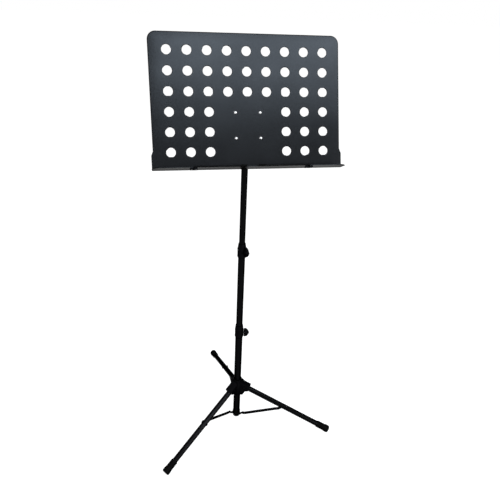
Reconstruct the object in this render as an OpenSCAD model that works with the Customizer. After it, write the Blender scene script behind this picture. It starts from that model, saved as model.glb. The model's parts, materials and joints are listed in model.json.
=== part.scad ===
// Folding orchestra music stand: perforated steel desk on a three-stage
// telescopic post, with a fold-up tripod base.
// Origin: on the post axis at floor level.  +Z up.  The desk faces -Y.

/* [Post tubes] */
// Outside diameter of the lower post tube
lower_od = 24; // [19:0.5:30]
// Wall thickness of the post tubes
tube_wall = 1.2; // [0.8:0.1:1.6]
// Height of the top end of the lower tube above the floor
lower_top = 404; // [380:1:460]
// Length of the middle tube
middle_len = 413; // [350:1:430]
// Height of the top end of the middle tube at rest
middle_top = 703; // [660:1:740]
// Length of the upper tube
upper_len = 423; // [360:1:440]

/* [Clamp collars] */
// Wall of the lower clamp collar round its tube
lower_clamp_wall = 1.7; // [1.5:0.1:5]
// Height of the lower clamp collar
lower_clamp_h = 48; // [44:1:70]
// Wall of the upper clamp collar round its tube
upper_clamp_wall = 2.5; // [1.5:0.1:5]
// Height of the upper clamp collar
upper_clamp_h = 46; // [42:1:70]
// Length of tube collar that stands above the end of the outer tube
clamp_crown = 7; // [5:1:12]
// Direction that the lower thumb knob points, from +X towards +Y
lower_knob_az = -12; // [-180:1:180]
// Direction that the upper thumb knob points
upper_knob_az = -60; // [-180:1:180]
// Diameter of the clamp screws
clamp_screw_d = 6; // [4:0.5:8]
// Height of a screw boss above its clamp collar
boss_out = 0.9; // [0.8:0.1:4]
// Width of a thumb knob across its wings
knob_w = 31; // [24:1:36]
// Length of a thumb knob along its screw
knob_len = 17; // [14:0.5:22]
// Thickness of a thumb knob's wing
knob_t = 6; // [4:0.5:9]

/* [Tripod] */
// Direction of the first leg, from +X towards +Y
leg_turn = -141.1; // [-180:0.1:180]
// Angle between an open leg and the vertical
leg_splay = 66; // [55:0.5:70]
// Length of a leg from its hub pin to the end of its rubber foot
leg_len = 335; // [305:1:420]
// Outside diameter of a leg tube
leg_od = 18; // [14:0.5:20]
// Wall thickness of a leg tube
leg_wall = 1.1; // [0.8:0.1:2]
// Distance along a leg from its hub pin to its brace rivet, and the length of a brace
brace_len = 144.5; // [110:0.5:148]
// Height of a brace bar
brace_w = 11; // [7:0.5:12]
// Thickness of a brace bar
brace_t = 2.5; // [1.5:0.5:3]
// How far a brace hangs below the line through its two pins
brace_drop = 1.8; // [1:0.1:4]
// Distance of a brace rivet below the middle of its leg
brace_pin_drop = 1.9; // [0:0.1:5]
// Diameter of the hub pins
hub_pin_d = 6; // [4:0.5:7]
// Diameter of the brace rivets and collar pins
rivet_d = 4; // [3:0.5:5]
// Length of a rubber foot
foot_len = 45; // [30:1:60]
// Thickness of the rubber round the end of a leg
foot_wall = 3.5; // [2.5:0.1:6]
// How deep the flat on the underside of a foot is cut
foot_flat = 2.2; // [1:0.1:3]

/* [Hub] */
// Height of the hub above its pins
hub_above = 33.5; // [30:0.5:40]
// Depth of the hub below its pins
hub_below = 32; // [24:0.5:40]
// Thickness of the cheeks on each side of a leg
hub_cheek = 3; // [2:0.5:5]
// Wall between the hub's bore and the slots for the legs
hub_slot_wall = 2.8; // [2:0.1:5]
// Reach of the hub arms along the legs, from the hub pins
hub_arm = 17; // [12:1:26]

/* [Desk] */
// Tilt of the desk back from vertical
desk_tilt = 23; // [10:1:40]
// Height of the tilt bolt above the floor at rest
tilt_z = 1044.3; // [1020:0.1:1100]
// Distance from the tilt bolt to the front of the desk
desk_stand = 36; // [32:0.5:46]
// Width of the desk
desk_w = 471; // [462:1:520]
// Height of the desk
desk_h = 324.2; // [321:0.2:380]
// How far the desk reaches below the tilt bolt
desk_below = 105.5; // [104:0.5:120]
// Radius of the two top corners
desk_corner = 20; // [10:1:40]
// Thickness of the desk and ledge sheet
sheet_t = 1; // [0.8:0.1:1.6]
// Depth of the flange folded back round the desk
flange_depth = 9; // [5:0.5:14]
// How much the unflanged foot of the desk stands out on each side
desk_step = 4; // [2:0.5:6]
// Height of the unflanged foot of the desk
desk_foot_h = 45; // [30:1:60]
// Spacing of the round holes
hole_pitch = 48; // [36:0.5:60]
// Diameter of the round holes
hole_d = 23; // [14:0.5:30]
// Least distance from the middle of a hole to the edge of the desk
hole_margin = 32; // [20:1:42]

/* [Ledge and page holders] */
// Depth of the ledge in front of the desk
ledge_depth = 45; // [30:1:70]
// Angle by which the ledge rises towards its front edge
ledge_rise = 5.5; // [0:0.5:12]
// Radius of the ledge's front corners
ledge_corner = 22; // [8:1:28]
// Distance from the middle of the ledge to each page holder's pivot
holder_x = 141; // [110:1:200]
// Diameter of the page holder wire
wire_d = 3; // [2:0.5:4]
// Length of a page holder
holder_len = 124; // [60:1:132]

/* [Tilt joint] */
// Distance from a desk screw to the edges of the bracket plate
screw_edge = 8; // [6:0.5:14]
// Diameter of the desk screws
desk_screw_d = 5; // [4:0.5:6]
// Size of the square bracket plate
bracket_w = 78; // [74:1:84]
// Thickness of the bracket plate and its ears
bracket_t = 2.5; // [2:0.5:3]
// Width of the eye at the top of the post
eye_w = 26; // [22:1:32]
// Diameter of the eye
eye_d = 24; // [18:1:28]
// Diameter of the tilt bolt
tilt_bolt_d = 8; // [6:0.5:10]

/* [Hidden] */
$fn = 64;
// radial clearance between sliding tubes and the collars round them
slide_gap = 0.3;
// radial clearance of a turning fit
run_gap = 0.05;
// side clearance between flat parts that turn past each other
side_gap = 0.35;
// radial clearance of a part that is pressed home
seat_gap = 0.01;
// overlap of cutting tools past the face they cut
cut = 1;

function leg_az(i) = leg_turn + 120 * i;

// distance of the hub pins and of the collar pins from the post axis
leg_end = 5;
hub_bore = lower_od / 2 + slide_gap;
hub_swing = norm([leg_end, leg_od / 2]) + side_gap;
pivot_r = hub_bore + hub_slot_wall + hub_swing;

// heights of a leg's axis at its foot, of the hub pins and of the collar pins
foot_r = leg_od / 2 + foot_wall;
foot_rise = foot_r * sin(leg_splay) - foot_flat;
hub_z = leg_len * cos(leg_splay) + foot_rise;
brace_splay = leg_splay - asin(brace_pin_drop / brace_len);
brace_pin_s = sqrt(pow(brace_len, 2) - pow(brace_pin_drop, 2));
collar_z = hub_z - 2 * brace_len * cos(brace_splay);

// side offsets, measured from the middle plane of a leg
brace_side = leg_od / 2 + side_gap;
ear_side = brace_side - side_gap - bracket_t;
ear_end = rivet_d / 2 + 1.4;
cheek_side = leg_od / 2 + 0.4;
hub_half = cheek_side + hub_cheek;

// the foot of the post
cap_r = lower_od / 2 + 0.6;
cap_h = 8;
cap_round = 3;
cap_plug_h = 14;
ring_h = 14;
ring_r = lower_od / 2 + 1.4;
ring_z = max(cap_h, collar_z - 21);

// telescopic tubes: each slides in the one below it
middle_od = lower_od - 2 * tube_wall - 2 * slide_gap;
upper_od = middle_od - 2 * tube_wall - 2 * slide_gap;
middle_bottom = middle_top - middle_len;
upper_top = tilt_z - 26;
upper_bottom = upper_top - upper_len;
guide_flange = 7;
guide_spigot = 15;

// clamp collars
lower_clamp_od = lower_od + 2 * lower_clamp_wall;
upper_clamp_od = middle_od + 2 * upper_clamp_wall;
lower_boss = lower_clamp_od / 2 + boss_out;
upper_boss = upper_clamp_od / 2 + boss_out;
lower_clamp_z = lower_top + clamp_crown - lower_clamp_h;
upper_clamp_z = middle_top + clamp_crown - 1 - upper_clamp_h;
lower_screw_z = lower_top - 22;
upper_screw_z = middle_top - 16;
boss_r = 7;
boss_pad_r = 10;
insert_r = clamp_screw_d / 2 + 1.5;
insert_len = min(lower_clamp_wall, upper_clamp_wall) + boss_out - 0.4;
clamp_taper = 16;

// leg details
leg_plug_len = 18;
foot_sleeve = 2.2;
hub_wall = 2.4;
hub_top_wall = 2.4;

// desk details, in the desk frame
screw_pitch = bracket_w - 2 * screw_edge;
grid_half = floor((desk_w / 2 - hole_margin) / hole_pitch);
grid_rows = floor((desk_h - 2 * hole_margin) / hole_pitch);
grid_rise = desk_h / 2 - desk_below;
desk_top = desk_h - desk_below;
foot_top = desk_foot_h - desk_below;
ear_gap = 1;
ear_x = eye_w / 2 + ear_gap;
ear_r = eye_d / 2;
nut_x = ear_x + bracket_t + 1.5 + 0.3;
socket_top = tilt_z - 14;
socket_h = 45;
socket_r = upper_od / 2 + 4;

// page holders, in the ledge frame
clip_w = 17;
clip_rivet_x = clip_w / 2 - 3;
clip_d = 13;
clip_h = wire_d + 1.8;
hem_w = 7;
clip_top = -2 * sheet_t;
pivot_y = clip_top - clip_h / 2;
wire_front = ledge_depth + 3.5;
wire_rise = 0;
tip_len = 14;

// ---------------------------------------------------------------- helpers

// a hollow round bar from z0 to z1
module pipe(ro, ri, z0, z1) {
  translate([0, 0, z0]) difference() {
    cylinder(r = ro, h = z1 - z0);
    translate([0, 0, -cut]) cylinder(r = ri, h = z1 - z0 + 2 * cut);
  }
}

// turns +X to a leg's direction
module at_leg(i) {
  rotate([0, 0, leg_az(i)]) children();
}

// +Z runs out along an open leg from its hub pin, and +X points under the leg
module on_leg(i) {
  at_leg(i) translate([pivot_r, 0, hub_z]) rotate([0, 180 - leg_splay, 0]) children();
}

// a flat shape drawn as (distance from the post, height), from side to side + t
// on the side of the leg where its brace runs
module leg_plane(side, t) {
  translate([0, -side, 0]) rotate([90, 0, 0]) linear_extrude(t) children();
}

// a round bar across a leg's middle plane, from side a to side b
module cross_bar(r, a, b) {
  translate([0, -a, 0]) rotate([90, 0, 0]) cylinder(r = r, h = b - a);
}

// a point given along an open leg and square to it, as (distance from post, height)
function leg_point(s, n) = [
  pivot_r + s * sin(leg_splay) + n * cos(leg_splay),
  hub_z - s * cos(leg_splay) + n * sin(leg_splay)
];

// a flat bar of height w along a list of points that runs from left to right
module bar2d(pts, w) {
  n = len(pts);
  polygon([for (k = [0 : 2 * n - 1]) k < n ? pts[k] - [0, w / 2] : pts[2 * n - 1 - k] + [0, w / 2]]);
}

// desk frame: +X as in the model, +Y up along the desk, +Z out of its front,
// with its origin on the tilt bolt
module on_desk() {
  translate([0, 0, tilt_z]) rotate([90 - desk_tilt, 0, 0]) children();
}

// ledge frame: +Y square to the ledge's top face, +Z out towards its front edge
module on_ledge() {
  on_desk() translate([0, -desk_below, desk_stand]) rotate([-ledge_rise, 0, 0]) children();
}

// +X runs out from the post along a clamp screw
module on_screw(az, z) {
  rotate([0, 0, az]) translate([0, 0, z]) children();
}

// a flat shape as (x, depth) lying in the ledge, from height y0 up by t
module ledge_plane(y0, t) {
  translate([0, y0 + t, 0]) rotate([90, 0, 0]) linear_extrude(t) children();
}

module rivet_head(r, h) {
  intersection() {
    cylinder(r = r, h = h);
    translate([0, 0, h - 1.6 * r]) sphere(r = 1.6 * r);
  }
}

// a pin across a leg plane from side a to side b, with a round head at each end
module cross_pin(r, a, b, head_r, head_h) {
  cross_bar(r, a, b);
  translate([0, -b, 0]) rotate([90, 0, 0]) rivet_head(head_r, head_h);
  translate([0, -a, 0]) rotate([-90, 0, 0]) rivet_head(head_r, head_h);
}

// ------------------------------------------------------------- post tubes

module lower_tube() {
  color([0.05, 0.05, 0.055]) difference() {
    pipe(lower_od / 2, lower_od / 2 - tube_wall, cap_h, lower_top);
    on_screw(lower_knob_az, lower_screw_z)
      rotate([0, 90, 0]) cylinder(d = clamp_screw_d + 1, h = lower_od);
  }
}

module middle_tube() {
  color([0.05, 0.05, 0.055]) difference() {
    pipe(middle_od / 2, middle_od / 2 - tube_wall, middle_bottom, middle_top);
    on_screw(upper_knob_az, upper_screw_z)
      rotate([0, 90, 0]) cylinder(d = clamp_screw_d + 1, h = middle_od);
  }
}

module upper_tube() {
  color([0.05, 0.05, 0.055]) difference() {
    pipe(upper_od / 2, upper_od / 2 - tube_wall, upper_bottom, upper_top);
    translate([0, 0, socket_top - socket_h / 2 - 8]) rotate([0, 90, 0])
      cylinder(r = 2, h = upper_od + 2, center = true);
  }
}

// bush at the bottom of a sliding tube; the tube can turn on its spigot
module guide(tube_od, outer_bore_r, z) {
  color([0.12, 0.12, 0.12]) difference() {
    union() {
      translate([0, 0, z - guide_flange]) cylinder(r = outer_bore_r - slide_gap, h = guide_flange - side_gap);
      translate([0, 0, z - guide_flange])
        cylinder(r = tube_od / 2 - tube_wall - run_gap, h = guide_flange + guide_spigot);
    }
    translate([0, 0, z - guide_flange - cut])
      cylinder(r = tube_od / 2 - tube_wall - 2, h = guide_flange + guide_spigot + 2 * cut);
  }
}

module middle_guide() {
  guide(middle_od, lower_od / 2 - tube_wall, middle_bottom);
}

module upper_guide() {
  guide(upper_od, middle_od / 2 - tube_wall, upper_bottom);
}

// round-edged cap that the post stands on, with a plug inside the tube
module post_cap() {
  color([0.06, 0.06, 0.06]) {
    rotate_extrude() {
      translate([0, 0]) square([cap_r - cap_round, cap_h]);
      translate([0, cap_round]) square([cap_r, cap_h - cap_round]);
      intersection() {
        translate([cap_r - cap_round, cap_round]) circle(r = cap_round);
        square([cap_r, cap_h]);
      }
    }
    translate([0, 0, cap_h - 0.5])
      cylinder(r = lower_od / 2 - tube_wall - seat_gap, h = cap_plug_h + 0.5);
  }
}

// ring round the foot of the post, with one ear for each brace
module brace_collar() {
  color([0.07, 0.07, 0.075]) difference() {
    union() {
      translate([0, 0, ring_z]) cylinder(r = ring_r, h = ring_h);
      for (i = [0 : 2]) at_leg(i) leg_plane(ear_side, bracket_t) {
        polygon([
          [2, ring_z + 1], [ring_r, ring_z + 1],
          [pivot_r + ear_end, collar_z - 1], [pivot_r - ear_end, collar_z + 1],
          [ring_r, ring_z + ring_h - 3], [2, ring_z + ring_h - 3]
        ]);
        translate([pivot_r, collar_z]) circle(r = ear_end + 0.2);
      }
    }
    translate([0, 0, -cut]) cylinder(r = lower_od / 2 + seat_gap, h = collar_z + 20);
    for (i = [0 : 2]) at_leg(i) translate([pivot_r, 0, collar_z])
      cross_bar(rivet_d / 2 + seat_gap, ear_side - cut, ear_side + bracket_t + cut);
  }
}

module collar_pins() {
  color([0.1, 0.1, 0.105]) for (i = [0 : 2]) at_leg(i) translate([pivot_r, 0, collar_z])
    cross_pin(rivet_d / 2, ear_side, brace_side + brace_t + side_gap, rivet_d / 2 + 0.9, 1.2);
}

// --------------------------------------------------------------- tripod

// sliding spider that holds the tops of the three legs
module hub() {
  color([0.08, 0.08, 0.085]) difference() {
    union() {
      translate([0, 0, hub_z - hub_below + 6]) cylinder(r = hub_bore + 6.5, h = hub_below + 2);
      translate([0, 0, hub_z + 8]) cylinder(r1 = hub_bore + 6.5, r2 = hub_bore + hub_wall, h = hub_above - 16);
      translate([0, 0, hub_z - hub_below]) cylinder(r = hub_bore + hub_wall, h = hub_below + hub_above);
      for (i = [0 : 2]) at_leg(i) leg_plane(-hub_half, 2 * hub_half) polygon([
        [4, hub_z - hub_below + 1.5],
        [pivot_r - 4.5, hub_z - hub_below + 1.5],
        [pivot_r + 4.5, hub_z - 12.5],
        leg_point(hub_arm, -4),
        leg_point(hub_arm, hub_swing + hub_top_wall),
        leg_point(-8, hub_swing + hub_top_wall),
        [hub_bore + hub_wall + 1, hub_z + hub_above - 9.5],
        [4, hub_z + hub_above - 9.5]
      ]);
    }
    translate([0, 0, hub_z - hub_below - cut]) cylinder(r = hub_bore, h = hub_below + hub_above + 2 * cut);
    for (i = [0 : 2]) at_leg(i) {
      // slot that the leg swings down through
      leg_plane(-cheek_side, 2 * cheek_side) polygon([
        [pivot_r - hub_swing, hub_z - hub_below - cut],
        [pivot_r + 40, hub_z - hub_below - cut],
        leg_point(hub_arm + 8, hub_swing),
        leg_point(-leg_end - 3, hub_swing),
        [pivot_r - hub_swing, leg_point(-leg_end - 3, hub_swing)[1]]
      ]);
      translate([pivot_r, 0, hub_z]) cross_bar(hub_pin_d / 2 + seat_gap, -hub_half - cut, hub_half + cut);
    }
  }
}

module hub_pins() {
  color([0.1, 0.1, 0.105]) for (i = [0 : 2]) at_leg(i) translate([pivot_r, 0, hub_z])
    cross_pin(hub_pin_d / 2, -hub_half, hub_half, hub_pin_d / 2 + 1.6, 1.6);
}

module leg(i) {
  color([0.05, 0.05, 0.055]) on_leg(i) difference() {
    pipe(leg_od / 2, leg_od / 2 - leg_wall, -leg_end, leg_len - 4);
    cross_bar(hub_pin_d / 2 + run_gap, -leg_od, leg_od);
    translate([brace_pin_drop, 0, brace_pin_s]) cross_bar(rivet_d / 2 + seat_gap, -leg_od, leg_od);
  }
}

module leg_plug(i) {
  color([0.1, 0.1, 0.1]) on_leg(i) difference() {
    translate([0, 0, -leg_end]) cylinder(r = leg_od / 2 - leg_wall - seat_gap, h = leg_plug_len);
    cross_bar(hub_pin_d / 2 + run_gap, -leg_od, leg_od);
  }
}

// rubber boot on the end of a leg, with a flat pad underneath
module foot(i) {
  color([0.04, 0.04, 0.04]) intersection() {
    difference() {
      union() {
        on_leg(i) translate([0, 0, leg_len - foot_len]) {
          cylinder(r1 = leg_od / 2 + foot_sleeve - 0.8, r2 = leg_od / 2 + foot_sleeve, h = 6);
          translate([0, 0, 6]) cylinder(r = leg_od / 2 + foot_sleeve, h = foot_len - 22);
          translate([0, 0, foot_len - 18]) cylinder(r1 = leg_od / 2 + foot_sleeve, r2 = foot_r, h = 6);
          translate([0, 0, foot_len - 12]) cylinder(r = foot_r, h = 10.5);
          translate([0, 0, foot_len - 1.5]) cylinder(r1 = foot_r, r2 = foot_r - 1.2, h = 1.5);
        }
      }
      on_leg(i) translate([0, 0, leg_len - foot_len - cut])
        cylinder(r = leg_od / 2 + seat_gap, h = foot_len - 3.8 + cut);
    }
    at_leg(i) translate([pivot_r + leg_len * sin(leg_splay) / 2, -40, 0]) cube([leg_len, 80, 120]);
  }
}

// flat bar from the collar ear to the leg; it dips between its pins
module brace(i) {
  color([0.06, 0.06, 0.065])
    at_leg(i) translate([pivot_r, 0, collar_z]) rotate([0, brace_splay - 90, 0]) difference() {
      leg_plane(brace_side, brace_t) {
        bar2d([
          [0, -0.8], [8, -brace_drop], [brace_len - 20, -brace_drop],
          [brace_len - 8, -brace_drop - 1], [brace_len, 0]
        ], brace_w);
        circle(d = brace_w - 1);
        translate([brace_len, 0]) circle(d = brace_w + 0.5);
      }
      for (x = [0, brace_len]) translate([x, 0, 0])
        cross_bar(rivet_d / 2 + run_gap, brace_side - cut, brace_side + brace_t + cut);
    }
}

module brace_rivet(i) {
  color([0.1, 0.1, 0.105]) on_leg(i) translate([brace_pin_drop, 0, brace_pin_s])
    cross_pin(rivet_d / 2, -leg_od / 2 - 0.4, brace_side + brace_t + side_gap, rivet_d / 2 + 1.3, 1.6);
}

// ---------------------------------------------------------- clamp collars

// collar on the top of an outer tube, with a boss for its clamp screw
module clamp(od, z0, h, outer_od, outer_top, inner_od, az, screw_z, boss_reach) {
  top = z0 + h;
  neck_r = inner_od / 2 + slide_gap + 1.3;
  color([0.09, 0.09, 0.095]) difference() {
    union() {
      translate([0, 0, z0]) cylinder(r1 = od / 2 - 1, r2 = od / 2, h = 4);
      translate([0, 0, z0 + 4]) cylinder(r = od / 2, h = h - clamp_taper - 4);
      translate([0, 0, top - clamp_taper]) cylinder(r1 = od / 2, r2 = neck_r, h = clamp_taper);
      for (z = [z0 + 5, top - clamp_taper - 3]) translate([0, 0, z]) cylinder(r = od / 2 + 0.4, h = 2);
      on_screw(az, screw_z) rotate([0, 90, 0]) cylinder(r = boss_pad_r, h = boss_reach);
      on_screw(az, screw_z) translate([0, -1.5, -boss_r - 7]) cube([boss_reach - 0.1, 3, 2 * boss_r + 14]);
    }
    translate([0, 0, z0 - cut]) cylinder(r = outer_od / 2 + seat_gap, h = outer_top - z0 + cut);
    translate([0, 0, z0 - cut]) cylinder(r = inner_od / 2 + slide_gap, h = h + 2 * cut);
    on_screw(az, screw_z) rotate([0, 90, 0]) {
      cylinder(r = clamp_screw_d / 2 + 0.4, h = boss_reach + cut);
      translate([0, 0, boss_reach - insert_len]) cylinder(r = insert_r + seat_gap, h = insert_len + cut);
    }
  }
}

module clamp_insert(az, screw_z, boss_reach) {
  color([0.72, 0.6, 0.3]) on_screw(az, screw_z) rotate([0, 90, 0])
    pipe(insert_r, clamp_screw_d / 2 + run_gap, boss_reach - insert_len, boss_reach);
}

// winged thumb knob; its wing is widest next to the boss and rounds to a blunt point
module knob(az, screw_z, boss_reach) {
  x0 = boss_reach + side_gap + 0.1;
  color([0.1, 0.1, 0.105]) on_screw(az, screw_z) difference() {
    union() {
      rotate([0, 90, 0]) translate([0, 0, x0]) cylinder(r = boss_r - 1, h = knob_len - 5);
      rotate([0, 90, 0]) translate([0, 0, x0 + knob_len - 5]) cylinder(r1 = boss_r - 1, r2 = 3, h = 4);
      rotate([90, 0, 0]) translate([0, 0, -knob_t / 2]) linear_extrude(knob_t) hull() {
        for (s = [-1, 1]) {
          translate([x0 + 3.5, s * (knob_w / 2 - 3.5)]) circle(r = 3.5, $fn = 32);
          translate([x0 + 6.5, s * (knob_w / 2 - 7.5)]) circle(r = 6, $fn = 32);
        }
        translate([x0 + knob_len - 4.5, 0]) circle(r = 4.5, $fn = 32);
      }
    }
    rotate([0, 90, 0]) cylinder(r = clamp_screw_d / 2 + seat_gap, h = x0 + knob_len - 4);
  }
}

module knob_screw(az, screw_z, boss_reach, inner_od) {
  tip = inner_od / 2 + slide_gap;
  color([0.6, 0.6, 0.62]) on_screw(az, screw_z) rotate([0, 90, 0]) {
    translate([0, 0, tip]) cylinder(r1 = clamp_screw_d / 2 - 0.8, r2 = clamp_screw_d / 2, h = 0.8);
    translate([0, 0, tip + 0.8])
      cylinder(d = clamp_screw_d, h = boss_reach + side_gap + knob_len - 4.2 - tip - 0.8);
  }
}

module lower_clamp() {
  clamp(lower_clamp_od, lower_clamp_z, lower_clamp_h, lower_od, lower_top, middle_od,
    lower_knob_az, lower_screw_z, lower_boss);
}

module upper_clamp() {
  clamp(upper_clamp_od, upper_clamp_z, upper_clamp_h, middle_od, middle_top, upper_od,
    upper_knob_az, upper_screw_z, upper_boss);
}

// -------------------------------------------------------------- tilt joint

// socket on the upper tube with the eye that the desk turns on
module tilt_head() {
  color([0.08, 0.08, 0.085]) difference() {
    union() {
      translate([0, 0, socket_top - socket_h]) cylinder(r1 = socket_r - 1.5, r2 = socket_r, h = 6);
      translate([0, 0, socket_top - socket_h + 6]) cylinder(r = socket_r, h = socket_h - 6);
      translate([-eye_w / 2, -eye_d / 3, socket_top - 6]) cube([eye_w, eye_d / 1.5, tilt_z - socket_top + 6]);
      translate([-eye_w / 2, 0, tilt_z]) rotate([0, 90, 0]) cylinder(d = eye_d, h = eye_w);
    }
    translate([0, 0, socket_top - socket_h - cut])
      cylinder(r = upper_od / 2 + seat_gap, h = upper_top - socket_top + socket_h + cut);
    translate([-eye_w, 0, tilt_z]) rotate([0, 90, 0]) cylinder(r = tilt_bolt_d / 2 + run_gap, h = 2 * eye_w);
    translate([0, 0, socket_top - socket_h / 2 - 8]) rotate([0, 90, 0])
      cylinder(r = 2, h = 2 * socket_r + 2, center = true);
  }
}

module head_rivet() {
  color([0.5, 0.5, 0.52]) translate([0, 0, socket_top - socket_h / 2 - 8]) rotate([0, 90, 0]) {
    cylinder(r = 2 - seat_gap, h = 2 * socket_r, center = true);
    for (s = [0, 180]) rotate([s, 0, 0]) translate([0, 0, socket_r]) rivet_head(3.4, 1.3);
  }
}

// bolted plate with two ears folded back round the eye
module desk_bracket() {
  plate_z = desk_stand - sheet_t - bracket_t;
  color([0.07, 0.07, 0.075]) on_desk() difference() {
    union() {
      translate([0, 0, plate_z]) linear_extrude(bracket_t) rounded_square(bracket_w, bracket_w, 8);
      for (s = [-1, 1]) translate([s > 0 ? ear_x : -ear_x - bracket_t, 0, 0]) rotate([90, 0, 90])
        linear_extrude(bracket_t) {
          circle(r = ear_r);
          polygon([
            [-ear_r * 0.98, 2], [-bracket_w / 4, plate_z + 0.5], [bracket_w / 4, plate_z + 0.5], [ear_r * 0.98, 2],
            [0, -2]
          ]);
        }
    }
    for (x = [-1, 1], y = [-1, 1]) translate([x * screw_pitch / 2, y * screw_pitch / 2, plate_z - cut])
      cylinder(d = desk_screw_d + 0.2, h = bracket_t + 2 * cut);
    translate([-bracket_w / 2, 0, 0]) rotate([0, 90, 0])
      cylinder(r = tilt_bolt_d / 2 + seat_gap, h = bracket_w);
  }
}

module rounded_square(w, h, r) {
  square([w - 2 * r, h], center = true);
  square([w, h - 2 * r], center = true);
  for (x = [-1, 1], y = [-1, 1]) translate([x * (w / 2 - r), y * (h / 2 - r)]) circle(r = r);
}

module tilt_bolt() {
  color([0.6, 0.6, 0.62]) on_desk() {
    translate([-ear_x - bracket_t - 0.1, 0, 0]) rotate([0, 90, 0])
      cylinder(d = tilt_bolt_d, h = nut_x + 17 + ear_x + bracket_t);
    translate([-ear_x - bracket_t, 0, 0]) rotate([0, -90, 0]) rivet_head(tilt_bolt_d, 4.5);
  }
}

module friction_washers() {
  color([0.75, 0.74, 0.7]) on_desk() for (s = [-1, 1])
    translate([s * (eye_w / 2 + ear_gap / 2), 0, 0]) rotate([0, 90, 0])
      translate([0, 0, -ear_gap / 2 + (s > 0 ? 0.1 : 0)])
        pipe(ear_r - 1, tilt_bolt_d / 2 + run_gap, 0, ear_gap - 0.1);
}

module tilt_washer() {
  color([0.6, 0.6, 0.62]) on_desk() rotate([0, 90, 0])
    pipe(tilt_bolt_d / 2 + 5, tilt_bolt_d / 2 + run_gap, ear_x + bracket_t, ear_x + bracket_t + 1.5);
}

// two-winged nut that locks the tilt
module wing_nut() {
  color([0.1, 0.1, 0.105]) on_desk() difference() {
    union() {
      rotate([0, 90, 0]) translate([0, 0, nut_x]) cylinder(r1 = tilt_bolt_d / 2 + 5, r2 = tilt_bolt_d / 2 + 3, h = 13);
      for (s = [0, 180]) rotate([s, 0, 0]) translate([0, 0, -2.5]) linear_extrude(5) {
        polygon([[nut_x + 1, 4], [nut_x + 12, 3], [nut_x + 20, 15], [nut_x + 13, 20], [nut_x + 5, 12]]);
        translate([nut_x + 16, 17.5]) circle(r = 4.8);
      }
    }
    translate([nut_x - cut, 0, 0]) rotate([0, 90, 0]) cylinder(r = tilt_bolt_d / 2 + run_gap, h = 40);
  }
}

// -------------------------------------------------------------------- desk

// outline of the desk's flanged part, w wide, with round top corners
module desk_outline(w, bottom, top, r) {
  translate([-w / 2, bottom]) square([w, top - bottom - r]);
  translate([-w / 2 + r, bottom]) square([w - 2 * r, top - bottom]);
  for (s = [-1, 1]) translate([s * (w / 2 - r), top - r]) circle(r = r);
}

// true for a hole that is left out, because the bracket would show in it
function closed(x, y) = abs(x) - hole_d / 2 < bracket_w / 2 && y - hole_d / 2 < bracket_w / 2;

module desk_panel() {
  color([0.1, 0.105, 0.115]) on_desk() difference() {
    union() {
      translate([0, 0, desk_stand - sheet_t]) linear_extrude(sheet_t) {
        desk_outline(desk_w, -desk_below, desk_top, desk_corner);
        polygon([
          [-desk_w / 2 - desk_step, -desk_below], [desk_w / 2 + desk_step, -desk_below],
          [desk_w / 2 + desk_step, foot_top - 10], [desk_w / 2, foot_top],
          [-desk_w / 2, foot_top], [-desk_w / 2 - desk_step, foot_top - 10]
        ]);
      }
      translate([0, 0, desk_stand - flange_depth]) linear_extrude(flange_depth - sheet_t) difference() {
        desk_outline(desk_w, foot_top, desk_top, desk_corner);
        desk_outline(desk_w - 2 * sheet_t, foot_top - cut, desk_top - sheet_t, desk_corner - sheet_t);
      }
    }
    for (c = [-grid_half : grid_half], r = [0 : grid_rows]) {
      x = c * hole_pitch;
      y = grid_rise + (r - grid_rows / 2) * hole_pitch;
      if (!closed(x, y)) translate([x, y, 0]) cylinder(d = hole_d, h = desk_stand + cut);
    }
    for (x = [-1, 1], y = [-1, 1]) translate([x * screw_pitch / 2, y * screw_pitch / 2, 0])
      cylinder(d = desk_screw_d + 0.2, h = desk_stand + cut);
  }
}

// outline of the ledge seen from above: (x, depth)
module ledge_outline(inset) {
  w = desk_w + 2 * desk_step - 2 * inset;
  d = ledge_depth - inset;
  r = ledge_corner - inset;
  translate([-w / 2, -2 * sheet_t]) square([w, d - r + 2 * sheet_t]);
  translate([-w / 2 + r, 0]) square([w - 2 * r, d]);
  for (s = [-1, 1]) translate([s * (w / 2 - r), d - r]) circle(r = r);
}

// shelf with a hem folded under its front, and a strip up behind the desk
module ledge() {
  color([0.1, 0.105, 0.115]) difference() {
    union() {
      on_ledge() {
        ledge_plane(-sheet_t, sheet_t) ledge_outline(0);
        ledge_plane(-2 * sheet_t, sheet_t + 0.01) difference() {
          ledge_outline(0);
          ledge_outline(hem_w);
          translate([-desk_w, -10]) square([2 * desk_w, 10 + ledge_depth - ledge_corner - 2]);
        }
      }
      on_desk() translate([-desk_w / 2 + 10, -desk_below - sheet_t, desk_stand - 2 * sheet_t])
        cube([desk_w - 20, 16 + sheet_t, sheet_t]);
    }
    for (s = [-1, 1], k = [-1, 1]) on_ledge() translate([s * holder_x + k * clip_rivet_x, 0, ledge_depth - 7])
      rotate([90, 0, 0]) cylinder(r = 1.5 + seat_gap, h = 20, center = true);
  }
}

module desk_screws() {
  color([0.8, 0.8, 0.82]) on_desk() for (x = [-1, 1], y = [-1, 1])
    translate([x * screw_pitch / 2, y * screw_pitch / 2, 0]) {
      translate([0, 0, desk_stand]) rivet_head(desk_screw_d * 0.8, 2.6);
      translate([0, 0, desk_stand - 13]) cylinder(d = desk_screw_d, h = 13.1);
    }
}

module desk_nuts() {
  color([0.6, 0.6, 0.62]) on_desk() for (x = [-1, 1], y = [-1, 1])
    translate([x * screw_pitch / 2, y * screw_pitch / 2, desk_stand - sheet_t - bracket_t - 4]) difference() {
      cylinder(d = desk_screw_d * 1.85, h = 4, $fn = 6);
      translate([0, 0, -cut]) cylinder(r = desk_screw_d / 2 + seat_gap, h = 4 + 2 * cut);
    }
}

// ------------------------------------------------------------ page holders

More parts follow.
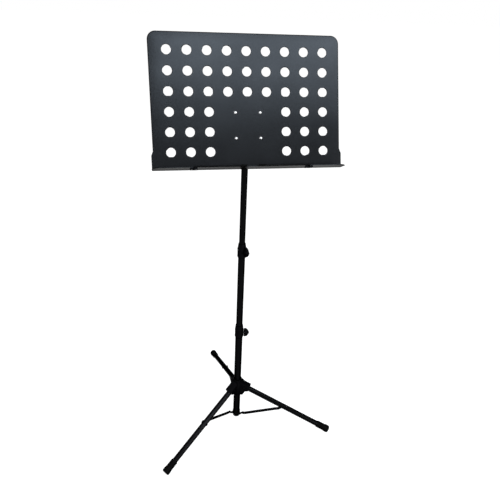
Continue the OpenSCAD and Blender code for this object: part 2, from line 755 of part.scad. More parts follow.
// saddle under the ledge's front edge that the wire turns in
module holder_clip(s) {
  color([0.05, 0.05, 0.05]) on_ledge() translate([s * holder_x, 0, 0]) difference() {
    translate([-clip_w / 2, clip_top - clip_h, ledge_depth - clip_d]) cube([clip_w, clip_h, clip_d + 0.6]);
    translate([0, pivot_y, ledge_depth - clip_d - cut]) cylinder(r = wire_d / 2 + run_gap, h = clip_d + 3);
    for (k = [-1, 1]) translate([k * clip_rivet_x, 0, ledge_depth - 7]) rotate([90, 0, 0])
      cylinder(r = 1.5 + seat_gap, h = 20, center = true);
  }
}

module holder_rivets() {
  color([0.5, 0.5, 0.52]) on_ledge() for (s = [-1, 1], k = [-1, 1])
    translate([s * holder_x + k * clip_rivet_x, 0, ledge_depth - 7]) {
      rotate([-90, 0, 0]) rivet_head(2.6, 1);
      translate([0, clip_top - clip_h, 0]) rotate([-90, 0, 0]) cylinder(r = 1.5, h = clip_h - clip_top + 0.1);
    }
}

// bent wire: a short leg in the clip, up past the front edge, then along it
module page_holder(s) {
  r = wire_d / 2;
  color([0.06, 0.06, 0.065]) on_ledge() translate([s * holder_x, 0, 0]) {
    translate([0, pivot_y, ledge_depth - clip_d + 1]) cylinder(r = r, h = clip_d - 1 + wire_front - ledge_depth);
    translate([0, pivot_y, wire_front]) sphere(r = r);
    translate([0, pivot_y, wire_front]) rotate([-90, 0, 0]) cylinder(r = r, h = wire_rise - pivot_y);
    translate([0, wire_rise, wire_front]) sphere(r = r);
    translate([0, wire_rise, wire_front]) rotate([0, -s * 90, 0]) cylinder(r = r, h = holder_len);
  }
}

// soft sleeve on the free end of the wire
module holder_tip(s) {
  color([0.03, 0.03, 0.03]) on_ledge() translate([s * (holder_x - holder_len), wire_rise, wire_front])
    rotate([0, s * 90, 0]) difference() {
      union() {
        translate([0, 0, -1]) cylinder(r = wire_d / 2 + 0.9, h = tip_len);
        translate([0, 0, -1]) sphere(r = wire_d / 2 + 0.9);
      }
      cylinder(r = wire_d / 2 + seat_gap, h = tip_len + 2);
    }
}

// ---------------------------------------------------------------- drawing

lower_tube();
middle_tube();
upper_tube();
post_cap();
brace_collar();
collar_pins();
middle_guide();
upper_guide();
hub();
hub_pins();
leg(0);  // leg_left
leg(1);  // leg_right
leg(2);  // leg_back
leg_plug(0);  // leg_plug_left
leg_plug(1);  // leg_plug_right
leg_plug(2);  // leg_plug_back
foot(0);  // foot_left
foot(1);  // foot_right
foot(2);  // foot_back
brace(0);  // brace_left
brace(1);  // brace_right
brace(2);  // brace_back
brace_rivet(0);  // brace_rivet_left
brace_rivet(1);  // brace_rivet_right
brace_rivet(2);  // brace_rivet_back
lower_clamp();
clamp_insert(lower_knob_az, lower_screw_z, lower_boss);  // lower_clamp_insert
knob(lower_knob_az, lower_screw_z, lower_boss);  // lower_knob
knob_screw(lower_knob_az, lower_screw_z, lower_boss, middle_od);  // lower_knob_screw
upper_clamp();
clamp_insert(upper_knob_az, upper_screw_z, upper_boss);  // upper_clamp_insert
knob(upper_knob_az, upper_screw_z, upper_boss);  // upper_knob
knob_screw(upper_knob_az, upper_screw_z, upper_boss, upper_od);  // upper_knob_screw
tilt_head();
head_rivet();
desk_bracket();
tilt_bolt();
friction_washers();
tilt_washer();
wing_nut();
desk_panel();
ledge();
desk_screws();
desk_nuts();
holder_clip(-1);  // holder_clip_left
holder_clip(1);  // holder_clip_right
holder_rivets();
page_holder(-1);  // page_holder_left
page_holder(1);  // page_holder_right
holder_tip(-1);  // holder_tip_left
holder_tip(1);  // holder_tip_right
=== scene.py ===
"""Looks of the folding music stand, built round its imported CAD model."""

import json
import math

import bmesh
import bpy
from mathutils import Matrix, Vector, geometry


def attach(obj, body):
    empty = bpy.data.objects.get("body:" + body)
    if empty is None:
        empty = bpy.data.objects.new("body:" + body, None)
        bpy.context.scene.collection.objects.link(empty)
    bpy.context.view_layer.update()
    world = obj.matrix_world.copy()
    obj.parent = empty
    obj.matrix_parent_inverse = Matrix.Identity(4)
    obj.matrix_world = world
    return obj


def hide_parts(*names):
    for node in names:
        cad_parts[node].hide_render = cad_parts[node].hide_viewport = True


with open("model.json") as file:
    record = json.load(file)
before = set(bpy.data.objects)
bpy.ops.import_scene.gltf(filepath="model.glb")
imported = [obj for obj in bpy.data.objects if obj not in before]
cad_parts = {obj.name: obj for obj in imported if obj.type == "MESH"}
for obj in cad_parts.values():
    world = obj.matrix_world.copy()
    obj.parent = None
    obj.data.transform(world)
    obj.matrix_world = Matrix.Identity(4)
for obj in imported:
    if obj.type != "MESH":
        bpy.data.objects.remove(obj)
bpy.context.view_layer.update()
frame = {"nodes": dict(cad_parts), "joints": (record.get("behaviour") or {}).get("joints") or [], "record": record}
NODES = frame["nodes"]
JOINTS = {j["name"]: j for j in frame["joints"]}
SLOT_OF = {p["node"]: p["material_slot"] for p in frame["record"]["subparts"]}
BODY_OF = {n: b for b, ns in frame["record"]["behaviour"]["bodies"].items() for n in ns}
MM = 0.001

# ------------------------------------------------------------- local frames

# Angles in degrees: where each leg points, seen from above
LEG_AZIMUTH = {"left": -141.1, "right": -21.1, "back": 98.9}
# Between an open leg and straight down
LEG_SPLAY = 66
# From a leg's hub pin out to the end of its rubber boot, and the length of the boot
LEG_LEN = 335 * MM
BOOT_LEN = 45 * MM
# Between the desk and upright
DESK_TILT = 23
# The ledge's turn from square to the desk
LEDGE_TURN = -5.5
# From the tilt bolt down along the desk to its lower edge
DESK_BELOW = 105.5 * MM
# From the tilt bolt forward to the desk's front face
DESK_STAND = 36 * MM

# The desk's frame, at the tilt bolt: +X to the right, +Y up along the desk, +Z out of its front
DESK = (
    Matrix.Translation(JOINTS["desk_tilt"]["pos_m"])
    @ Matrix.Rotation(math.radians(90 - DESK_TILT), 4, "X")
)
DESK_FACE = DESK @ Matrix.Translation((0, 0, DESK_STAND))
LEDGE = (
    DESK
    @ Matrix.Translation((0, -DESK_BELOW, DESK_STAND))
    @ Matrix.Rotation(math.radians(LEDGE_TURN), 4, "X")
)


def leg_frame(name):
    """+Z runs out along an open leg from its hub pin, +X points under the leg."""
    left_pin = Vector(JOINTS["hub_slide_pin"]["pos_m"])
    turn = Matrix.Rotation(math.radians(LEG_AZIMUTH[name] - LEG_AZIMUTH["left"]), 4, "Z")
    return (
        Matrix.Translation(turn @ left_pin)
        @ Matrix.Rotation(math.radians(LEG_AZIMUTH[name]), 4, "Z")
        @ Matrix.Rotation(math.radians(180 - LEG_SPLAY), 4, "Y")
    )


# ---------------------------------------------------------------- materials


def add_noise(tree, coords, scale, detail):
    """The value of a noise texture."""
    node = tree.nodes.new("ShaderNodeTexNoise")
    node.inputs["Scale"].default_value = scale
    node.inputs["Detail"].default_value = detail
    tree.links.new(coords, node.inputs["Vector"])
    return node.outputs["Fac"]


def spread(tree, value, low, high):
    """Spreads the middle of a noise's range from low to high."""
    node = tree.nodes.new("ShaderNodeMapRange")
    node.inputs["From Min"].default_value = 0.3
    node.inputs["From Max"].default_value = 0.7
    node.inputs["To Min"].default_value = low
    node.inputs["To Max"].default_value = high
    tree.links.new(value, node.inputs["Value"])
    return node.outputs["Result"]


def add_wear(tree, coords, colour, painted, amount):
    """Lays a lighter, worn colour in patches on the corners that stand out.

    Pointiness is 0.5 on a flat face and more on such a corner.
    """
    geometry_node = tree.nodes.new("ShaderNodeNewGeometry")
    corners = tree.nodes.new("ShaderNodeMapRange")
    corners.inputs["From Min"].default_value = 0.53
    corners.inputs["From Max"].default_value = 0.62
    tree.links.new(geometry_node.outputs["Pointiness"], corners.inputs["Value"])
    wear = tree.nodes.new("ShaderNodeMath")
    wear.operation = "MULTIPLY"
    tree.links.new(corners.outputs["Result"], wear.inputs[0])
    patches = spread(tree, add_noise(tree, coords, 160, 5), 0, amount)
    tree.links.new(patches, wear.inputs[1])
    worn = tree.nodes.new("ShaderNodeMix")
    worn.data_type = "RGBA"
    lighter = [min(1, c * 1.8 + 0.006) for c in colour]
    worn.inputs[7].default_value = (*lighter, 1)
    tree.links.new(wear.outputs[0], worn.inputs[0])
    tree.links.new(painted, worn.inputs[6])
    return worn.outputs[2]


def material(name, colour, rough, grain, metallic=1.0, rim=1.0, mottle=(14, 0.12),
             rough_mottle=(22, 0.06), stretch=None, wear=0.0):
    """A surface with fine grain in its bump and slow changes in its colour and gloss.

    grain holds the scale, strength and depth of the bump. mottle and rough_mottle hold the scale
    and size of the changes in colour and roughness. rim tints a metal's gloss at low angles.
    stretch scales the pattern of the grain and gloss along each axis, and wear is how far the
    corners are worn.
    """
    mat = bpy.data.materials.new(name)
    mat.use_nodes = True
    tree = mat.node_tree
    shader = tree.nodes["Principled BSDF"]
    shader.inputs["Metallic"].default_value = metallic
    shader.inputs["Specular Tint"].default_value = (rim, rim, rim, 1)
    coords = tree.nodes.new("ShaderNodeTexCoord").outputs["Object"]
    fine_coords = coords
    if stretch:
        mapping = tree.nodes.new("ShaderNodeMapping")
        mapping.inputs["Scale"].default_value = stretch
        tree.links.new(coords, mapping.inputs["Vector"])
        fine_coords = mapping.outputs["Vector"]

    scale, change = mottle
    mix = tree.nodes.new("ShaderNodeMix")
    mix.data_type = "RGBA"
    mix.inputs[6].default_value = (*[c * (1 - change) for c in colour], 1)
    mix.inputs[7].default_value = (*[min(1, c * (1 + change)) for c in colour], 1)
    tree.links.new(spread(tree, add_noise(tree, coords, scale, 4), 0, 1), mix.inputs[0])
    painted = mix.outputs[2]
    if wear:
        painted = add_wear(tree, coords, colour, painted, wear)
    tree.links.new(painted, shader.inputs["Base Color"])

    scale, change = rough_mottle
    gloss = spread(tree, add_noise(tree, fine_coords, scale, 5), rough - change, rough + change)
    tree.links.new(gloss, shader.inputs["Roughness"])

    scale, strength, depth = grain
    bump = tree.nodes.new("ShaderNodeBump")
    bump.inputs["Strength"].default_value = strength
    bump.inputs["Distance"].default_value = depth
    tree.links.new(add_noise(tree, fine_coords, scale, 3), bump.inputs["Height"])
    tree.links.new(bump.outputs["Normal"], shader.inputs["Normal"])
    return mat


# The black coats, plastic and rubber are near-black metals with a dark rim, because an ordinary
# glossy black turns white at low angles in front of a white backdrop.
MATS = {
    "tube_coat": material("tube_coat", (0.0036, 0.0036, 0.0039), 0.17, (1100, 0.08, 0.0003), rim=0.35),
    "desk_coat": material("desk_coat", (0.0097, 0.0102, 0.0113), 0.31, (1000, 0.14, 0.0003), rim=0.30,
                          mottle=(9, 0.10), rough_mottle=(7, 0.03)),
    "black_plastic": material("black_plastic", (0.0036, 0.0036, 0.0042), 0.50, (2400, 0.22, 0.0002),
                              rim=0.3, wear=0.3),
    "rubber": material("rubber", (0.0036, 0.0036, 0.0036), 0.60, (1500, 0.3, 0.0003), rim=0.3),
    "steel": material("steel", (0.50, 0.50, 0.51), 0.30, (900, 0.08, 0.0001), stretch=(1, 1, 0.1)),
    "nickel": material("nickel", (0.60, 0.60, 0.61), 0.20, (700, 0.05, 0.0001)),
    "brass": material("brass", (0.34, 0.25, 0.11), 0.42, (900, 0.08, 0.0001)),
    "nylon": material("nylon", (0.6, 0.59, 0.56), 0.5, (1600, 0.1, 0.0002), metallic=0.0),
}
for node_name, node in NODES.items():
    node.data.materials.clear()
    node.data.materials.append(MATS[SLOT_OF[node_name]])

# ------------------------------------------------------------- mesh helpers

# Vertices nearer than this are merged, in metres
MERGE = 2e-6
# In degrees: faces that turn less than FLAT are one flat face, and edges over CREASE are rounded
FLAT = 0.6
CREASE = 28


def finish_piece(name, mesh, body, replaced, slot, smooth):
    """Links a mesh as one named piece that rides on a body. Edges over smooth degrees stay sharp."""
    piece = bpy.data.objects.new(name, mesh)
    bpy.context.scene.collection.objects.link(piece)
    mesh.materials.clear()
    mesh.materials.append(MATS[slot])
    mesh.polygons.foreach_set("use_smooth", [True] * len(mesh.polygons))
    mesh.set_sharp_from_angle(angle=math.radians(smooth))
    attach(piece, body)
    if replaced:
        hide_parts(*replaced)


def mesh_of(bm, name, place=None):
    """Turns a bmesh into a mesh: doubles merged, faces turned outwards, moved to its place."""
    bmesh.ops.remove_doubles(bm, verts=bm.verts, dist=MERGE)
    bmesh.ops.recalc_face_normals(bm, faces=bm.faces)
    if place is not None:
        bm.transform(place)
    mesh = bpy.data.meshes.new(name)
    bm.to_mesh(mesh)
    bm.free()
    return mesh


def soften(node, width):
    """Replaces a CAD node by its own shape with the edges rounded, width in millimetres."""
    bm = bmesh.new()
    bm.from_mesh(NODES[node].data)
    bmesh.ops.remove_doubles(bm, verts=bm.verts, dist=MERGE)
    bmesh.ops.dissolve_limit(bm, angle_limit=math.radians(FLAT), verts=bm.verts, edges=bm.edges)
    mesh = bpy.data.meshes.new(node + "_soft")
    bm.to_mesh(mesh)
    bm.free()
    helper = bpy.data.objects.new(node + "_helper", mesh)
    bpy.context.scene.collection.objects.link(helper)
    bevel = helper.modifiers.new("bevel", "BEVEL")
    bevel.width = width * MM
    bevel.segments = 3
    bevel.limit_method = "ANGLE"
    bevel.angle_limit = math.radians(CREASE)
    bevel.use_clamp_overlap = True
    bpy.context.view_layer.update()
    rounded = helper.evaluated_get(bpy.context.evaluated_depsgraph_get())
    ready = bpy.data.meshes.new_from_object(rounded)
    bpy.data.objects.remove(helper)
    finish_piece(node + "_moulded", ready, BODY_OF[node], (node,), SLOT_OF[node], 40)


def around(steps):
    """Cosine and sine of evenly spaced angles over a whole turn."""
    angles = [2 * math.pi * k / steps for k in range(steps)]
    return [(math.cos(a), math.sin(a)) for a in angles]


def bridge(bm, rings, steps):
    """Joins each ring of vertices to the next. A ring may be a single vertex."""
    for a, b in zip(rings, rings[1:]):
        for k in range(steps):
            n = (k + 1) % steps
            loop = [a[k % len(a)], a[n % len(a)], b[n % len(b)], b[k % len(b)]]
            face = [v for i, v in enumerate(loop) if v not in loop[:i]]
            if len(face) > 2:
                bm.faces.new(face)


def lathe(bm, profile, steps):
    """Turns (radius, height) points round Z into a surface, and returns its vertices."""
    rings = []
    for r, z in profile:
        turns = around(steps) if r else [(0, 0)]
        rings.append([bm.verts.new((r * c, r * s, z)) for c, s in turns])
    bridge(bm, rings, steps)
    return [v for ring in rings for v in ring]


# -------------------------------------------------------------- sheet metal

SHEET = 1.0 * MM

# Round holes: the rim sinks by HOLE_SINK over the width HOLE_RIM, the back edge opens by HOLE_BREAK
HOLE_R = 11.5 * MM
HOLE_RIM = 2.2 * MM
HOLE_SINK = 0.8 * MM
HOLE_BREAK = 0.2 * MM
HOLE_STEPS = 56


def quarter(steps):
    """Angles over a quarter turn."""
    return [math.pi / 2 * k / steps for k in range(steps + 1)]


def corner(cx, cy, r, start, steps=14):
    """Points round a quarter circle with their outward directions, from a start angle in degrees."""
    made = []
    for k in range(steps + 1):
        a = math.radians(start + 90 * k / steps)
        made.append(((cx + r * math.cos(a), cy + r * math.sin(a)), (math.cos(a), math.sin(a))))
    return made


def mirrored(points):
    """The left half of an outline from its right half, in the order that goes on round it."""
    return [((-x, y), (-nx, ny)) for (x, y), (nx, ny) in reversed(points)]


def edge_profile(fold, depth, steps=6):
    """(outward, down) points from a sheet's front face round its edge to its back face.

    An edge deeper than the sheet is a flange, bent back over the radius fold. Both kinds of edge
    have the same number of points, so that one can follow the other round a sheet.
    """
    if depth > SHEET + 1e-6:
        outer = [(-fold + fold * math.sin(a), fold - fold * math.cos(a)) for a in quarter(steps)]
        e = SHEET * 0.3
        end = [(0, depth - e), (-e * 0.4, depth - e * 0.2),
               (-SHEET + e * 0.4, depth - e * 0.2), (-SHEET, depth - e)]
        r = max(fold - SHEET, 0.05 * MM)
        inner = [(-fold + r * math.sin(a), fold - r * math.cos(a)) for a in reversed(quarter(steps))]
        inner[0] = (-SHEET, inner[0][1])
        inner[-1] = (-fold, SHEET)
        return outer + end + inner
    h = SHEET / 2
    outer = [(-fold, 0)] + [(-h + h * math.sin(a), h - h * math.cos(a)) for a in quarter(steps - 1)]
    end = [(-h + h * math.cos(a), h + h * math.sin(a)) for a in (0.25, 0.6, 1.0, 1.35)]
    inner = [(-h - (fold - h) * k / steps, SHEET) for k in range(steps + 1)]
    return outer + end + inner


def hole_wall():
    """(radius, down) points of a hole, from the outside of its dished rim to the back face."""
    outside = HOLE_R + HOLE_RIM
    rim = [(outside - HOLE_RIM * math.sin(a), HOLE_SINK - HOLE_SINK * math.cos(a)) for a in quarter(8)]
    return rim + [(HOLE_R, SHEET - 0.15 * MM), (HOLE_R + HOLE_BREAK, SHEET)]


def fill_face(bm, loops, holes, level):
    """A flat face at a height, inside the first loop and outside the holes.

    Known fault: triangles are dropped by the bore's radius, which is less than the radius of the
    loops at either face. So slivers stay round each hole, and in front they cover part of its dish.
    """
    points, faces = [], []
    for loop in loops:
        faces.append(list(range(len(points), len(points) + len(loop))))
        points += [Vector(p) for p in loop]
    verts, _, tris, *_ = geometry.delaunay_2d_cdt(points, [], faces, 1, 1e-7)
    made = [bm.verts.new((v.x, v.y, level)) for v in verts]
    for tri in tris:
        mid = sum((verts[i] for i in tri), Vector((0, 0))) / len(tri)
        if any((mid.x - x) ** 2 + (mid.y - y) ** 2 < HOLE_R * HOLE_R for x, y in holes):
            continue
        bm.faces.new([made[i] for i in tri])


def press_sheet(bm, outline, holes=()):
    """A sheet with a shaped edge, given as (point, outward, fold, depth), and holes at (x, y).

    Its front face is at z = 0 and it goes back towards -Z.
    """
    rings = [
        [bm.verts.new((x + nx * u, y + ny * u, -w)) for u, w in edge_profile(fold, depth)]
        for (x, y), (nx, ny), fold, depth in outline
    ]
    for a, b in zip(rings, rings[1:] + rings[:1]):
        for j in range(len(a) - 1):
            bm.faces.new((a[j], b[j], b[j + 1], a[j + 1]))

    wall = hole_wall()
    edge = [(x - nx * fold, y - ny * fold) for (x, y), (nx, ny), fold, _ in outline]
    front, back = [edge], [edge]
    for hx, hy in holes:
        ring = [[bm.verts.new((hx + c * q, hy + s * q, -w)) for q, w in wall] for c, s in around(HOLE_STEPS)]
        for a, b in zip(ring, ring[1:] + ring[:1]):
            for j in range(len(a) - 1):
                bm.faces.new((a[j], a[j + 1], b[j + 1], b[j]))
        rim = [(column[0].co.x, column[0].co.y) for column in ring]
        front.append(rim)
        inner, outside = HOLE_R + HOLE_BREAK, HOLE_R + HOLE_RIM
        back.append([(hx + (x - hx) * inner / outside, hy + (y - hy) * inner / outside) for x, y in rim])
    fill_face(bm, front, holes, 0.0)
    fill_face(bm, back, holes, -SHEET)


# -------------------------------------------------------------------- desk

DESK_W = 471 * MM
DESK_H = 324.2 * MM
DESK_TOP = DESK_H - DESK_BELOW
DESK_CORNER = 20 * MM
DESK_FOLD = 2.6 * MM
DESK_FLANGE = 9 * MM
# The lowest part of the desk has no flange, and is wider on each side by STEP
FOOT_TOP = 45 * MM - DESK_BELOW
STEP = 4 * MM

COLUMNS = 9
ROWS = 6
PITCH = 48 * MM
# From the tilt bolt up to the middle of the grid of holes
GRID_MID = 56.6 * MM
# Up to this height over the tilt bolt, no hole comes nearer than this to the desk's middle line
BRACKET_HALF = 39 * MM

LEDGE_DEPTH = 45 * MM
LEDGE_CORNER = 22 * MM
LEDGE_FOLD = 1.2 * MM
LEDGE_HEM = 2.0 * MM
# The strip by which the ledge lies against the back of the desk
STRIP_INSET = 10 * MM
STRIP_RISE = 16 * MM
STRIP_CUT = 3 * MM
STRIP_FOLD = 0.6 * MM

# From the tilt bolt to each desk screw, across and up
SCREW = 31 * MM
# The share of a screw head's height that its dome leaves at the rim
SCREW_RIM = 0.1


def desk_outline():
    """The desk's edge as press_sheet takes it, anticlockwise from the lower left."""
    half, foot, r = DESK_W / 2, DESK_W / 2 + STEP, DESK_CORNER
    low, trim, slope, notch = -DESK_BELOW, 1.5 * MM, 10 * MM, 2.5 * MM
    right = [((foot - trim, low), (0.1, -1)), ((foot, low + trim), (1, -0.1)),
             ((foot, FOOT_TOP - slope), (1, 0.1)), ((half, FOOT_TOP), (0.95, 0.3))]
    left = mirrored(right)
    flange_end = [((half, FOOT_TOP + notch), (1, 0))]
    top = corner(half - r, DESK_TOP - r, r, 0) + corner(-half + r, DESK_TOP - r, r, 90)
    flanged = flange_end + top + mirrored(flange_end)
    return (
        [(*point, DESK_FOLD, SHEET) for point in left[-1:] + right]
        + [(*point, DESK_FOLD, DESK_FLANGE) for point in flanged]
        + [(*point, DESK_FOLD, SHEET) for point in left[:-1]]
    )


def hole_spots():
    """Middles of the desk's holes, in columns from left to right and upwards in each."""
    spots = []
    for column in range(COLUMNS):
        for row in range(ROWS):
            x = (column - (COLUMNS - 1) / 2) * PITCH
            y = GRID_MID + (row - (ROWS - 1) / 2) * PITCH
            if abs(x) - HOLE_R >= BRACKET_HALF or y - HOLE_R >= BRACKET_HALF:
                spots.append((x, y))
    return spots


def desk_panel():
    """Flanged round its upper part, with a plain wider foot and a grid of holes."""
    bm = bmesh.new()
    press_sheet(bm, desk_outline(), hole_spots())
    mesh = mesh_of(bm, "desk_panel_pressed", DESK_FACE)
    finish_piece("desk_panel_pressed", mesh, "desk", ("desk_panel",), "desk_coat", 30)


def ledge():
    """A shelf with a hemmed front edge, and the strip behind the desk that carries it."""
    half, r, d = DESK_W / 2 + STEP, LEDGE_CORNER, LEDGE_DEPTH
    behind_face, before_hem = 2 * MM, 4 * MM
    side = [((half, -behind_face), (1, -0.5)), ((half, d - r - before_hem), (1, 0))]
    front = corner(half - r, d - r, r, 0) + corner(-half + r, d - r, r, 90)
    shelf = bmesh.new()
    press_sheet(
        shelf,
        [(*point, LEDGE_FOLD, SHEET) for point in side]
        + [(*point, LEDGE_FOLD, LEDGE_HEM) for point in front]
        + [(*point, LEDGE_FOLD, SHEET) for point in mirrored(side)],
    )
    # The sheet's own Y runs out of the desk's front, and its front face looks up
    lay_flat = Matrix(((1, 0, 0, 0), (0, 0, 1, 0), (0, 1, 0, 0), (0, 0, 0, 1)))
    shelf.transform(LEDGE @ lay_flat)

    w, low, high = DESK_W / 2 - STRIP_INSET, -DESK_BELOW - SHEET, -DESK_BELOW + STRIP_RISE
    right = [((w, low), (1, 0)), ((w, high - STRIP_CUT), (1, 0.4)), ((w - STRIP_CUT, high), (0.4, 1))]
    strip = bmesh.new()
    press_sheet(strip, [(*point, STRIP_FOLD, SHEET) for point in right + mirrored(right)])
    strip.transform(DESK @ Matrix.Translation((0, 0, DESK_STAND - SHEET)))
    finish_piece("ledge_pressed", mesh_of(shelf, "ledge_pressed"), "desk", ("ledge",), "desk_coat", 30)
    finish_piece("ledge_strip", mesh_of(strip, "ledge_strip"), "desk", (), "desk_coat", 30)


def screw_head(bm, radius, height, steps, rings=18):
    """A domed head with a cross recess. Returns its vertices."""
    arm, reach, sink = 0.55 * MM, 2.0 * MM, 1.1 * MM
    # near is 1 on the outline of the cross, and the recess deepens over bank from start inwards
    start, bank = 1.25, 0.5
    grid = []
    for i in range(rings + 1):
        q = radius * i / rings
        dome = height * (1 - (q / radius) ** 2.0 * (1 - SCREW_RIM))
        ring = []
        for c, s in around(steps) if i else [(0, 0)]:
            x, y = q * c, q * s
            near = min(max(abs(x) / arm, abs(y) / reach), max(abs(y) / arm, abs(x) / reach))
            ring.append(bm.verts.new((x, y, dome - sink * max(0, min(1, (start - near) / bank)))))
        grid.append(ring)
    bridge(bm, grid, steps)
    return [v for ring in grid for v in ring]


def desk_screws():
    """Pan heads with a cross recess, on threaded shanks."""
    steps, head_r, head_h = 64, 4.0 * MM, 2.6 * MM
    shank_r, length, pitch, thread = 2.5 * MM, 13 * MM, 0.8 * MM, 0.35 * MM
    neck, point = 1 * MM, 0.5 * MM
    side = [(head_r, head_h * SCREW_RIM), (head_r, 0.0), (shank_r, 0.0)]
    z = -neck
    while z > -length + pitch:
        side += [(shank_r, z), (shank_r - thread, z - pitch / 2)]
        z -= pitch
    side += [(shank_r - point, -length), (0, -length)]
    bm = bmesh.new()
    for x in (-SCREW, SCREW):
        for y in (-SCREW, SCREW):
            made = screw_head(bm, head_r, head_h, steps) + lathe(bm, side, steps)
            bmesh.ops.transform(bm, matrix=Matrix.Translation((x, y, 0)), verts=made)
    mesh = mesh_of(bm, "desk_screws_turned", DESK_FACE)
    finish_piece("desk_screws_turned", mesh, "desk", ("desk_screws",), "nickel", 40)


# ----------------------------------------------- rubber boots and soft edges


def boot_profile():
    """(radius, distance along the leg) points of a boot, from its mouth to its closed end."""
    bore, sleeve, ball = 9.01 * MM, 11.2 * MM, 12.5 * MM
    mouth, end = LEG_LEN - BOOT_LEN, LEG_LEN
    points = [(bore, mouth), (sleeve - 1.2 * MM, mouth), (sleeve - 0.5 * MM, mouth + 0.3 * MM),
              (sleeve, mouth + 1.5 * MM)]
    groove = sleeve - 0.7 * MM
    for k in range(4):
        z = mouth + (6 + 4.5 * k) * MM
        points += [(sleeve, z), (groove, z + 0.4 * MM), (groove, z + 1.2 * MM), (sleeve, z + 1.6 * MM)]
    points += [(sleeve, end - 18 * MM), (sleeve + 0.4 * MM, end - 16 * MM)]
    # In from the full radius and back from the end, in millimetres
    tip = ((0.3, 12.6), (0, 11.5), (0, 4.0), (0.5, 2.2), (1.8, 0.8), (3.6, 0.1), (5.0, 0))
    points += [(ball - inward * MM, end - back * MM) for inward, back in tip]
    return points + [(0, end)]


def feet():
    """Rubber boots with rings round them, cut flat where they stand."""
    for name in LEG_AZIMUTH:
        bm = bmesh.new()
        lathe(bm, boot_profile(), 72)
        bm.transform(leg_frame(name))
        bmesh.ops.remove_doubles(bm, verts=bm.verts, dist=1e-6)
        cut = bmesh.ops.bisect_plane(bm, geom=bm.verts[:] + bm.edges[:] + bm.faces[:],
                                     plane_co=(0, 0, 0), plane_no=(0, 0, -1), clear_outer=True)
        rim = [e for e in cut["geom_cut"] if isinstance(e, bmesh.types.BMEdge)]
        bmesh.ops.holes_fill(bm, edges=rim)
        node = "foot_" + name
        finish_piece(node + "_boot", mesh_of(bm, node + "_boot"), BODY_OF[node], (node,), "rubber", 35)


# How wide the edges of each moulded, pressed or bent node are rounded, in millimetres
ROUNDED = {
    "hub": 0.9,
    "lower_clamp": 0.5,
    "upper_clamp": 0.5,
    "lower_knob": 0.9,
    "upper_knob": 0.9,
    "tilt_head": 0.8,
    "wing_nut": 0.9,
    "brace_collar": 0.5,
    "desk_bracket": 0.6,
    "brace_left": 0.5,
    "brace_right": 0.5,
    "brace_back": 0.5,
    "desk_nuts": 0.25,
    "holder_clip_left": 0.8,
    "holder_clip_right": 0.8,
}

desk_panel()
ledge()
desk_screws()
feet()
for node_name, edge_width in ROUNDED.items():
    soften(node_name, edge_width)

# ---------------------------------------------------------- stage and light


def shown_rays(tree):
    """1 for the rays that show a backdrop: seen directly, in gloss or through something clear."""
    rays = tree.nodes.new("ShaderNodeLightPath")
    seen = tree.nodes.new("ShaderNodeMath")
    seen.operation = "MAXIMUM"
    tree.links.new(rays.outputs["Is Camera Ray"], seen.inputs[0])
    tree.links.new(rays.outputs["Is Glossy Ray"], seen.inputs[1])
    both = tree.nodes.new("ShaderNodeMath")
    both.operation = "MAXIMUM"
    tree.links.new(seen.outputs[0], both.inputs[0])
    tree.links.new(rays.outputs["Is Transmission Ray"], both.inputs[1])
    return both.outputs[0]


def stage_floor(half=30.0, below=0.0002, paper=0.3, lift=0.9):
    """A flat floor that shows as white by its own light, over a grey that takes the shadows."""
    mesh = bpy.data.meshes.new("studio_floor")
    corners = [(-half, -half, 0), (half, -half, 0), (half, half, 0), (-half, half, 0)]
    mesh.from_pydata(corners, [], [(0, 1, 2, 3)])
    floor = bpy.data.objects.new("studio_floor", mesh)
    bpy.context.scene.collection.objects.link(floor)
    floor.location.z = -below
    mat = bpy.data.materials.new("studio_floor")
    mat.use_nodes = True
    nodes, links = mat.node_tree.nodes, mat.node_tree.links
    nodes.remove(nodes["Principled BSDF"])
    diffuse = nodes.new("ShaderNodeBsdfDiffuse")
    diffuse.inputs["Color"].default_value = (paper, paper, paper, 1)
    glow = nodes.new("ShaderNodeEmission")
    strength = nodes.new("ShaderNodeMath")
    strength.operation = "MULTIPLY"
    strength.inputs[1].default_value = lift
    links.new(shown_rays(mat.node_tree), strength.inputs[0])
    links.new(strength.outputs[0], glow.inputs["Strength"])
    total = nodes.new("ShaderNodeAddShader")
    links.new(diffuse.outputs[0], total.inputs[0])
    links.new(glow.outputs[0], total.inputs[1])
    links.new(total.outputs[0], nodes["Material Output"].inputs["Surface"])
    mesh.materials.append(mat)


def softbox(name, spot, target, size, power, colour=(1, 1, 1), roll=0):
    """An area lamp at a spot, aimed at a target, rolled in degrees and not seen by the camera."""
    data = bpy.data.lights.new(name, "AREA")
    data.shape = "RECTANGLE"
    data.size, data.size_y = size
    data.energy = power
    data.color = colour
    lamp = bpy.data.objects.new(name, data)
    bpy.context.scene.collection.objects.link(lamp)
    lamp.location = spot
    lamp.visible_camera = False
    aim = (Vector(target) - Vector(spot)).to_track_quat("-Z", "Y").to_matrix()
    lamp.rotation_euler = (aim @ Matrix.Rotation(math.radians(roll), 3, "Z")).to_euler()


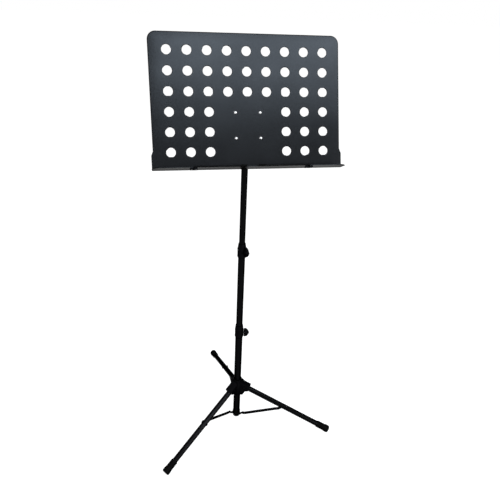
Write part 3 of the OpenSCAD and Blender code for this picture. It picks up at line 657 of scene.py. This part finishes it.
def studio_world(ambient=0.42, backdrop=1.0):
    """Even light from all round, which shows as plain white."""
    world = bpy.data.worlds.new("studio")
    bpy.context.scene.world = world
    world.use_nodes = True
    tree = world.node_tree
    base = tree.nodes["Background"]
    base.inputs["Color"].default_value = (1, 1, 1, 1)
    base.inputs["Strength"].default_value = ambient
    shown = tree.nodes.new("ShaderNodeBackground")
    shown.inputs["Color"].default_value = (1, 1, 1, 1)
    shown.inputs["Strength"].default_value = backdrop
    blend = tree.nodes.new("ShaderNodeMixShader")
    tree.links.new(shown_rays(tree), blend.inputs[0])
    tree.links.new(base.outputs[0], blend.inputs[1])
    tree.links.new(shown.outputs[0], blend.inputs[2])
    tree.links.new(blend.outputs[0], tree.nodes["World Output"].inputs["Surface"])


stage_floor()
# Where each lamp is, what it is aimed at, its size in metres and its power in watts
softbox("key_softbox", (0.48, -1.16, 2.36), (0.08, 0.0, 1.15), (1.9, 0.58), 54, (0.82, 0.93, 1.0), -10)
softbox("leg_softbox", (1.44, -2.38, 1.25), (-0.12, -0.10, 0.10), (0.8, 0.8), 28)
softbox("fill_softbox", (-2.4, -1.4, 2.2), (0, 0, 0.7), (0.7, 2.0), 11)
softbox("back_softbox", (-0.5, 2.6, 2.3), (0, 0, 0.8), (2.4, 1.2), 24)
studio_world()

# -------------------------------------------------------------------- camera

# Where the photograph was taken from, solved from the desk's grid of holes
CAMERA_SPOT = Vector((-0.2012, -1.1591, 1.3428))
CAMERA_RIGHT = Vector((0.98447, -0.17109, 0.03928))
CAMERA_UP = Vector((0.04971, 0.48635, 0.87235))
camera_data = bpy.data.cameras.new("camera")
camera_data.lens = 33.094
camera_data.sensor_width = 36
camera_data.clip_start = 0.05
camera_data.shift_x = -0.0015
camera_data.shift_y = 0.001
camera = bpy.data.objects.new("camera", camera_data)
bpy.context.scene.collection.objects.link(camera)
camera_back = CAMERA_RIGHT.cross(CAMERA_UP).normalized()
camera_turn = Matrix((CAMERA_RIGHT, CAMERA_UP, camera_back)).transposed().to_4x4()
camera.matrix_world = Matrix.Translation(CAMERA_SPOT) @ camera_turn
bpy.context.scene.camera = camera
bpy.context.scene.view_settings.view_transform = "Standard"
